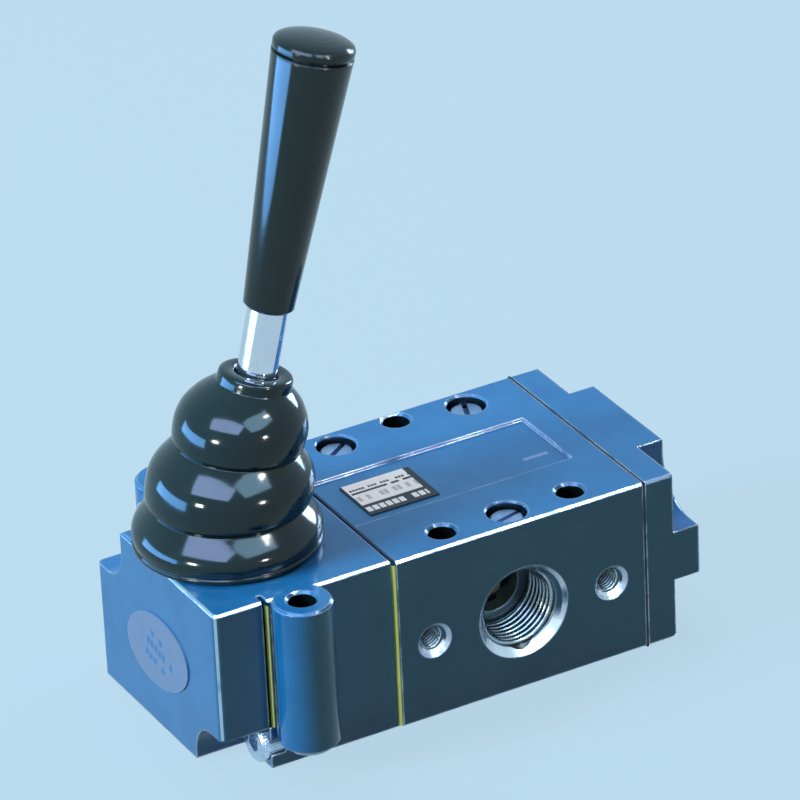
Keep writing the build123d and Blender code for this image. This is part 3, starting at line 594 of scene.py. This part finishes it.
chrome = metal("chrome", (0.86, 0.88, 0.92, 1), (0.72, 0.76, 0.84, 1), 0.05, 0.08, (2200, 2200, 60), -LEAN)
dress(chrome, "lever_rod")
zinc = metal("zinc_plate", (0.74, 0.82, 0.90, 1), (0.50, 0.62, 0.74, 1), 0.2, 0.16, (1200, 1200, 1200))
dress(zinc, "housing_screws", "end_cap_screws", "keeper_screws", "rod_nut")
blued = metal("blued_zinc", (0.46, 0.60, 0.80, 1), (0.26, 0.38, 0.58, 1), 0.28, 0.16, (500, 500, 500))
dress(blued, "top_screws")
steel = metal("ground_steel", (0.56, 0.57, 0.60, 1), (0.40, 0.42, 0.46, 1), 0.22, 0.15, (900, 900, 900))
dress(steel, "pivot_keeper", "drive_piece", "return_spring", "pivot_pin", "lever_hub", "foot_ball")
bronze = metal("bronze", (0.72, 0.50, 0.26, 1), (0.55, 0.36, 0.18, 1), 0.28, 0.14, (900, 300, 900))
dress(bronze, "pivot_bush")
spool_metal = metal("ground_alloy", (0.82, 0.83, 0.86, 1), (0.68, 0.70, 0.74, 1), 0.16, 0.12, (3000, 200, 200))
dress(spool_metal, "spool")
print("metals:", chrome.material.name, zinc.material.name, blued.material.name, steel.material.name)

# %% [markdown]
# ## Gaskets and spacers
# The head's gasket is a straw-coloured shim, the cap's is dark fibre, and the rings between the seals
# are cream nylon. One plain colour would make them look like paper, and they are all dull and fibrous
# or grainy, so one function gives them a fine noise in colour, roughness and height. On the top the
# shim's edge has gone dark with oil and dirt, so there its colour changes with height.
# %% Gaskets and spacers
OILED = BODY_HI.z - 0.8 * MM
OIL = (0.02, 0.05, 0.10, 1)


def matt(name, light, dark, rough=0.7, scale=700.0, oiled_from=None, metallic=0.0):
    """Dull material with fibres, dark with oil above a height if one is given."""
    finish = Finish(name, Specular_IOR_Level=0.4, Metallic=metallic)
    fibre = finish.spread(finish.noise(scale, 4.0, 0.7), 0.3, 0.7)
    colour = finish.mix(fibre, light, dark)
    if oiled_from is not None:
        colour = finish.mix(finish.z > oiled_from, colour, OIL)
    finish.set(Base_Color=colour, Roughness=rough + fibre * 0.15)
    finish.set(Normal=finish.bump(fibre, 0.02 * MM, 0.6))
    return finish


straw = matt("straw_shim", (0.98, 0.86, 0.24, 1), (0.80, 0.72, 0.20, 1), 0.35, oiled_from=OILED, metallic=0.7)
dress(straw, "housing_gasket")
fibre_sheet = matt("dark_fibre", (0.018, 0.04, 0.045, 1), (0.008, 0.02, 0.024, 1))
dress(fibre_sheet, "end_cap_gasket")
nylon = matt("cream_nylon", (0.78, 0.76, 0.66, 1), (0.68, 0.66, 0.56, 1), 0.45, 400.0)
dress(nylon, "spool_spacers", "end_rings", "spring_guide")
print("materials so far:", len(bpy.data.materials))

# %% [markdown]
# ## Rubber boot
# The boot is a stack of three soft bells that lean over with the lever. It could be three squashed
# spheres, but the creases between real bells are tight and the whole stack bends, so rings are set
# along a bent axis instead, and their radii follow one smooth outline, outside and then inside. The
# axis is a list of height, sideways shift and lean in degrees, the outlines of height and radius,
# all in millimetres above the top face.
# %% Outline and axis of the boot
BOOT_AXIS = [
    (0, 0, 0), (8, 0.4, 2), (13.6, 1.6, 5), (20, 3.3, 8.5), (27.4, 5.4, 11.5), (34.6, 8.5, 13.9),
    (38, 9.44, 13.95),
]
BOOT_OUTSIDE = [
    (0.0, 18.5), (0.3, 18.95), (0.9, 19.0), (1.3, 18.75), (1.7, 18.85), (3.0, 19.05), (4.4, 18.7), (5.8, 17.8),
    (7.2, 16.5), (8.0, 15.7), (8.3, 15.45), (8.6, 15.7), (9.4, 16.4), (10.6, 16.7), (12.4, 16.75), (14.2, 16.6),
    (15.8, 16.05), (17.3, 15.1), (18.8, 13.8), (19.8, 12.8), (20.1, 12.5), (20.4, 12.7), (21.2, 13.1),
    (22.6, 13.3), (24.8, 13.3), (26.4, 12.95), (27.8, 12.4), (29.1, 11.55), (30.4, 10.45), (31.6, 9.0),
    (32.3, 8.0), (32.6, 7.6), (32.95, 7.55), (34.0, 7.5), (34.6, 7.3), (34.9, 6.8), (34.95, 6.2),
]
BOOT_INSIDE = [
    (34.95, 4.9), (34.6, 4.35), (33.8, 4.12), (31.2, 4.12), (30.6, 6.4), (29.4, 8.9), (27.6, 10.9),
    (25.0, 11.9), (21.6, 11.7), (20.1, 11.0), (18.2, 12.6), (15.4, 14.8), (12.4, 15.3), (9.4, 14.9),
    (8.3, 14.1), (6.4, 15.6), (3.2, 17.6), (1.5, 17.2), (1.45, 15.75), (0.0, 15.7),
]


def between(points, amount):
    """Place on a smooth curve through the points; amount runs from 0 to the last point's number."""
    i = min(int(amount), len(points) - 2)
    p = [Vector(points[max(0, min(len(points) - 1, i + k))]) for k in (-1, 0, 1, 2)]
    t = amount - i
    slope_a, slope_b = (p[2] - p[0]) / 2, (p[3] - p[1]) / 2
    a, b = 2 * t ** 3 - 3 * t ** 2 + 1, t ** 3 - 2 * t ** 2 + t
    return a * p[1] + b * slope_a + (1 - a) * p[2] + (t ** 3 - t ** 2) * slope_b


def axis_at(height):
    """Sideways shift and lean of the boot's axis at a height."""
    for i, (low, high) in enumerate(zip(BOOT_AXIS, BOOT_AXIS[1:])):
        if height <= high[0] or i == len(BOOT_AXIS) - 2:
            at = between(BOOT_AXIS, i + max(0.0, (height - low[0]) / (high[0] - low[0])))
            return at[1], radians(at[2])


print("boot leans", round(axis_at(BOOT_AXIS[-1][0])[1], 3), "rad at its collar")

# %% [markdown]
# ## Rings of the boot
# Each place on the outline becomes a ring of points at right angles to the bent axis, and faces join
# each ring to the next. The last ring, inside at the foot, joins the first, so the rubber is closed
# with a true thickness.
# %% Build the boot
STEPS, SIDES = 4, 96
outline = [between(BOOT_OUTSIDE, i / STEPS) for i in range((len(BOOT_OUTSIDE) - 1) * STEPS + 1)]
outline += [Vector(p) for p in BOOT_INSIDE]
verts, faces = [], []
for height, radius in outline:
    shift, tilt = axis_at(height)
    for k in range(SIDES):
        around = 2 * pi * k / SIDES
        across, along = radius * cos(around), radius * sin(around)
        x, z = shift + across * cos(tilt), height - across * sin(tilt)
        verts.append(Vector((PIVOT.x + MM * x, MM * along, TOP + MM * z)))
for row in range(len(outline)):
    under = (row + 1) % len(outline)
    for k in range(SIDES):
        right = (k + 1) % SIDES
        faces.append((row * SIDES + k, row * SIDES + right, under * SIDES + right, under * SIDES + k))
boot_mesh = bpy.data.meshes.new("rubber_boot")
boot_mesh.from_pydata(verts, [], faces)
boot_mesh.shade_smooth()
boot_mesh.materials.append(rubber.material)
boot = add("rubber_boot", boot_mesh)
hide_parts("boot")
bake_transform(boot)
print("boot", len(faces), "faces, up to", round(max(v.z for v in verts), 4))

# %% [markdown]
# ## Squeezed-out gasket
# When the head was bolted on, its straw-coloured gasket swelled out a little at the joint. Moving the
# gasket itself isn't allowed, as it is a measured part, so a strip with a rounded outside stands on
# the joint in front and behind. A thinner one lines the slit beside the head's corner column.
# %% Gasket lips
LIP_STEPS = 5
LIP_ROOT, LIP_STAND, LIP_SWELL, LIP_TOP_GAP = 0.3 * MM, 0.45 * MM, 0.3 * MM, 0.3 * MM
JOINT_HALF, JOINT_FOOT, SLIT_HALF, SLIT_FOOT = 0.5 * MM, 0.4 * MM, 0.3 * MM, 9.6 * MM
joint = (gasket_lo.x + gasket_hi.x) / 2
SLIT_FROM_END = 11.5 * MM
slit = HEAD_LO.x + SLIT_FROM_END
LIPS = [
    ("gasket_lip_front", joint, JOINT_HALF, gasket_lo.y, -1, JOINT_FOOT),
    ("gasket_lip_back", joint, JOINT_HALF, gasket_hi.y, 1, JOINT_FOOT),
    ("slit_lip", slit, SLIT_HALF, gasket_lo.y, -1, SLIT_FOOT),
]


def lip(name, centre, half, face, side, foot):
    """Upright strip on a face, with a round outside, from a foot up to just under the top."""
    root = face - side * LIP_ROOT
    rim = [(centre - half, root), (centre + half, root)]
    for step in range(LIP_STEPS + 1):
        around = pi * step / LIP_STEPS
        rim.append((centre + half * cos(around), face + side * (LIP_STAND + LIP_SWELL * sin(around))))
    count = len(rim)
    points = [(x, y, z) for z in (foot, gasket_hi.z - LIP_TOP_GAP) for x, y in rim]
    sides = [(i, (i + 1) % count, count + (i + 1) % count, count + i) for i in range(count)]
    ends = [tuple(range(count)), tuple(range(2 * count - 1, count - 1, -1))]
    mesh = bpy.data.meshes.new(name)
    mesh.from_pydata(points, [], sides + ends)
    shape = bmesh.new()
    shape.from_mesh(mesh)
    bmesh.ops.recalc_face_normals(shape, faces=shape.faces)
    shape.to_mesh(mesh)
    shape.free()
    mesh.materials.append(straw.material)
    piece = add(name, mesh)
    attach(piece, "valve")


for values in LIPS:
    lip(*values)
print(len(LIPS), "lips, joint at", round(joint / MM, 2))

# %% [markdown]
# ## Threads in the ports
# A thread is a ridge that winds round and round at a fixed pitch. A bump could fake it, but one looks
# straight into the port, where only real ridges hide one another. So Geometry Nodes draw it: a
# spiral curve, swept with a small diamond whose outer half is buried in the wall. The ports' places,
# sizes and depths come from the record, and the pitch from the standard of each thread size.
# %% Turn a node tree into a plain mesh
def grow(name, build, values, place):
    """Runs a Geometry Nodes tree on an empty mesh and keeps the result as a plain piece."""
    tree = bpy.data.node_groups.new(name, "GeometryNodeTree")
    tree.interface.new_socket("Shape", in_out="OUTPUT", socket_type="NodeSocketGeometry")
    for key, (kind, _) in values.items():
        tree.interface.new_socket(key, in_out="INPUT", socket_type=kind)
    start = tree.nodes.new("NodeGroupInput")
    named = {key: Wire(tree, start.outputs[key]) for key in values}
    end = tree.nodes.new("NodeGroupOutput")
    Wire(tree).feed(end.inputs[0], build(Wire(tree), named))
    holder = add(name + "_holder", bpy.data.meshes.new(name + "_holder"))
    modifier = holder.modifiers.new("grow", "NODES")
    modifier.node_group = tree
    for item in tree.interface.items_tree:
        if item.in_out == "INPUT":
            modifier[item.identifier] = values[item.name][1]
    ready = holder.evaluated_get(bpy.context.evaluated_depsgraph_get())
    mesh = bpy.data.meshes.new_from_object(ready)
    bpy.data.objects.remove(holder)
    mesh.name = name
    mesh.transform(place)
    piece = add(name, mesh)
    print(name, len(mesh.polygons), "faces")
    return piece


def wound(wire, turns, radius, height, profile, steps):
    """A profile swept along a spiral that winds up a cylinder."""
    spiral = wire.node("GeometryNodeCurveSpiral", None, {
        "Resolution": steps, "Rotations": turns, "Start Radius": radius, "End Radius": radius, "Height": height,
    })
    upright = wire.node("GeometryNodeSetCurveNormal", {"mode": "Z_UP"}, {"Curve": spiral})
    sweep = {"Curve": upright, "Profile Curve": profile, "Fill Caps": True}
    swept = wire.node("GeometryNodeCurveToMesh", None, sweep)
    return wire.node("GeometryNodeRealizeInstances", None, {0: swept})


print("Geometry Nodes helpers are ready")

# %% [markdown]
# ## Cutting the threads
# Inside the port the metal is bare from the tap. The ridge stands a little over half a pitch from its
# middle, so that neighbouring turns meet at the root as a cut thread's do, and it stops short of the
# mouth, where a real port has its chamfer. Each thread is drawn upright and then laid along its port.
# %% Cut the threads
BARE_LIGHT, BARE_SHADE = (0.50, 0.55, 0.58, 1), (0.30, 0.35, 0.38, 1)
bare_metal = metal("bare_alloy", BARE_LIGHT, BARE_SHADE, 0.2, 0.12, (800, 800, 800), edge_radius=0.1 * MM)
RIDGE, MOUTH_GAP = 0.52, 0.6
THREAD_STEPS = 64
PITCHES = {"inlet": 1.337, "outlet": 1.337, "exhaust": 0.8}


def thread_tree(wire, named):
    ridge = {"Resolution": 4, "Radius": named["Pitch"] * RIDGE}
    diamond = wire.node("GeometryNodeCurvePrimitiveCircle", None, ridge)
    height = named["Turns"] * named["Pitch"]
    plain = wound(wire, named["Turns"], named["Radius"], height, diamond, THREAD_STEPS)
    return wire.node("GeometryNodeSetMaterial", None, {"Geometry": plain, "Material": bare_metal.material})


for name, mount in mounts.items():
    if mount["kind"] != "threaded_hole":
        continue
    pitch = PITCHES[name.split("_")[0]] * MM
    out = Vector(mount["axis"])
    length = mount["dims"]["length_mm"] * MM
    mouth = Vector(mount["pos_m"]) + out * (length / 2 - pitch * MOUTH_GAP)
    place = Matrix.Translation(mouth) @ out.to_track_quat("-Z", "Y").to_matrix().to_4x4()
    thread = grow("thread_" + name, thread_tree, {
        "Radius": ("NodeSocketFloat", mount["dims"]["r_mm"] * MM),
        "Pitch": ("NodeSocketFloat", pitch),
        "Turns": ("NodeSocketFloat", (length - pitch) / pitch),
    }, place)
    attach(thread, "valve")

# %% [markdown]
# ## Return spring
# A coil spring pushes the spool back. The measured part is a coil of coarse wire, fixed at its length
# at rest, and the spool would run into it as it slides.
# %% Wind the spring
WIRE_R, SPRING_TURNS = 0.5 * MM, 6.0
SPRING_STEPS, WIRE_SIDES = 40, 10


def spring_tree(wire, named):
    profile = {"Resolution": WIRE_SIDES, "Radius": named["Wire"]}
    round_wire = wire.node("GeometryNodeCurvePrimitiveCircle", None, profile)
    plain = wound(wire, named["Turns"], named["Radius"], named["Length"], round_wire, SPRING_STEPS)
    smooth = wire.node("GeometryNodeSetShadeSmooth", None, {0: plain})
    return wire.node("GeometryNodeSetMaterial", None, {"Geometry": smooth, "Material": steel.material})


spring_lo, spring_hi = corners_of("return_spring")
spring_axis = (spring_lo.z + spring_hi.z) / 2
spring = grow("coil_spring", spring_tree, {
    "Radius": ("NodeSocketFloat", (spring_hi.z - spring_lo.z) / 2 - WIRE_R),
    "Wire": ("NodeSocketFloat", WIRE_R),
    "Length": ("NodeSocketFloat", spring_hi.x - spring_lo.x - 2 * WIRE_R),
    "Turns": ("NodeSocketFloat", SPRING_TURNS),
}, Matrix.Translation((spring_lo.x + WIRE_R, 0, spring_axis)) @ Matrix.Rotation(pi / 2, 4, "Y"))
slide = next(j for j in frame["record"]["behaviour"]["joints"] if j["name"] == "spool_slide")
travel = max(abs(limit) for limit in slide["range_m"])
kept_share = 1 - travel / (spring_hi.x - spring_lo.x)
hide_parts("return_spring")
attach(spring, "valve")
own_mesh(spring)
print("spring keeps", round(kept_share, 3), "of its length")

# %% [markdown]
# ## Knurled screw heads
# The two long screws of the head have the grip of fine ribs that such cap screws are rolled with. A
# list of 44 bars would do, but the ribs are all alike, so Geometry Nodes set one thin six-sided bar
# round a circle, half sunk in the head, and a change to the bar changes them all.
# %% Ribs round a screw head
RIBS, RIB_SIDES = 44, 6
SCREW_HEAD_R, SCREW_HEAD_H, SCREW_CHAMFER = 4.25 * MM, 5.0 * MM, 0.45 * MM
RIB_R, RIB_SUNK, RIB_END_GAP = 0.24 * MM, 0.12 * MM, 0.2 * MM


def knurl_tree(wire, named):
    circle = wire.node("GeometryNodeMeshCircle", None, {"Vertices": RIBS, "Radius": named["Radius"]})
    bar = {"Vertices": RIB_SIDES, "Radius": named["Rib"], "Depth": named["Length"]}
    rib = wire.node("GeometryNodeMeshCylinder", None, bar)
    ribs = wire.node("GeometryNodeInstanceOnPoints", None, {"Points": circle, "Instance": rib})
    plain = wire.node("GeometryNodeRealizeInstances", None, {0: ribs})
    return wire.node("GeometryNodeSetMaterial", None, {"Geometry": plain, "Material": zinc.material})


screws_lo, screws_hi = corners_of("housing_screws")
low_head = (screws_lo.y + SCREW_HEAD_R, screws_lo.z + SCREW_HEAD_R)
high_head = (screws_hi.y - SCREW_HEAD_R, screws_hi.z - SCREW_HEAD_R)
length = SCREW_HEAD_H - SCREW_CHAMFER - RIB_END_GAP
for name, (y, z) in (("low", low_head), ("high", high_head)):
    middle = Vector((screws_lo.x + SCREW_CHAMFER + length / 2, y, z))
    knurl = grow("knurl_" + name, knurl_tree, {
        "Radius": ("NodeSocketFloat", SCREW_HEAD_R - RIB_SUNK),
        "Rib": ("NodeSocketFloat", RIB_R),
        "Length": ("NodeSocketFloat", length),
    }, Matrix.Translation(middle) @ Matrix.Rotation(pi / 2, 4, "Y"))
    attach(knurl, "valve")

# %% [markdown]
# ## Printed plate
# The plate on the top is silver foil with dark printing. Real words would name a maker, so the rows
# here are plain dashes. They could be small pieces of mesh, but ink has no thickness, so the colour
# does it: each row is cut into steps, and each step is inked or left out by chance.
# %% Rows of dashes
DASH_SHARE = 0.78
ROW_SEED = 37.7


def dashes(finish, along, across, row, thick, step, share):
    """1 on the dashes of one row, centred at a height across the plate."""
    slot = along * (1 / step)
    number = slot - slot % 1.0
    inked = finish.chance(number + ROW_SEED * row / MM) < share
    gap = (slot % 1.0) < DASH_SHARE
    return (abs(across - row) < thick / 2) * inked * gap


def middle_of(name):
    """Middle of a measured part."""
    low, high = corners_of(name)
    return (low + high) / 2


print("a dash fills", DASH_SHARE, "of its step")

# %% [markdown]
# ## Ink on the plate
# From the top down there are a fine row, a long dark line, a row of tall grey bars and white marks in
# a dark band, between dark borders left and right. Each is a mask of 0 and 1; the larger of them is
# the ink, and one mix lays it over the foil, whose own tone is a little uneven.
# %% Printed plate
GREY_BARS = 0.45
FOIL, FOIL_SHADE, INK = (0.95, 0.95, 0.96, 1), (0.84, 0.86, 0.90, 1), (0.012, 0.02, 0.028, 1)
plate = Finish("printed_plate", Specular_IOR_Level=0.5)
plate_middle = middle_of("name_plate")
px, py = plate.x - plate_middle.x, plate.y - plate_middle.y
line_inked = plate.chance((px - px % (0.9 * MM)) * 900.0) < 0.85
dark_line = (abs(py - 2.6 * MM) < 0.35 * MM) * line_inked
dark_band = (py < -2.3 * MM)
side_band = (px > 6.5 * MM) | (px < -7.5 * MM)
fine_row = dashes(plate, px, py, 3.9 * MM, 0.7 * MM, 0.7 * MM, 0.7)
tall_row = dashes(plate, px, py, 0.2 * MM, 1.9 * MM, 1.0 * MM, 0.55) * GREY_BARS
white_marks = dashes(plate, px, py, -4.3 * MM, 1.9 * MM, 1.5 * MM, 0.9)
ink = ((fine_row | tall_row | dark_line | dark_band) * (1 - white_marks)) | side_band
plate.set(Base_Color=plate.mix(ink, plate.mix(plate.noise(300.0), FOIL, FOIL_SHADE), INK))
plate.set(Roughness=plate.blend(ink, 0.32, 0.5))
dress(plate, "name_plate")
print("plate middle", [round(c / MM, 2) for c in plate_middle])

# %% [markdown]
# ## Oval label
# The label on the lever's end is a pale film with blue printing, set a little askew. Its rows use the
# same dashes, read along axes that are turned with the label, and the outer rows are shorter, as
# printing in an oval is.
# %% Oval label
LABEL_TURN = radians(12)
FILM, FILM_SHADE, LABEL_INK = (0.30, 0.27, 0.46, 1), (0.25, 0.24, 0.42, 1), (0.01, 0.18, 0.46, 1)
label = Finish("printed_label", Specular_IOR_Level=0.45)
label_middle = middle_of("end_label")
ly, lz = label.y - label_middle.y, label.z - label_middle.z
across = ly * cos(LABEL_TURN) + lz * sin(LABEL_TURN)
rise = lz * cos(LABEL_TURN) - ly * sin(LABEL_TURN)
top_row = dashes(label, across, rise, 2.9 * MM, 1.5 * MM, 1.7 * MM, 0.6) * (abs(across) < 3.0 * MM)
middle_row = dashes(label, across, rise, 0.2 * MM, 1.8 * MM, 1.6 * MM, 0.75) * (abs(across) < 6.5 * MM)
low_row = dashes(label, across, rise, -3.0 * MM, 1.5 * MM, 1.7 * MM, 0.7) * (abs(across) < 5.5 * MM)
marks = top_row | middle_row | low_row
label.set(Base_Color=label.mix(marks * 0.85, label.mix(label.noise(200.0), FILM, FILM_SHADE), LABEL_INK))
label.set(Roughness=0.3 + label.noise(500.0) * 0.2)
dress(label, "end_label")
print("label middle", [round(c / MM, 2) for c in label_middle])
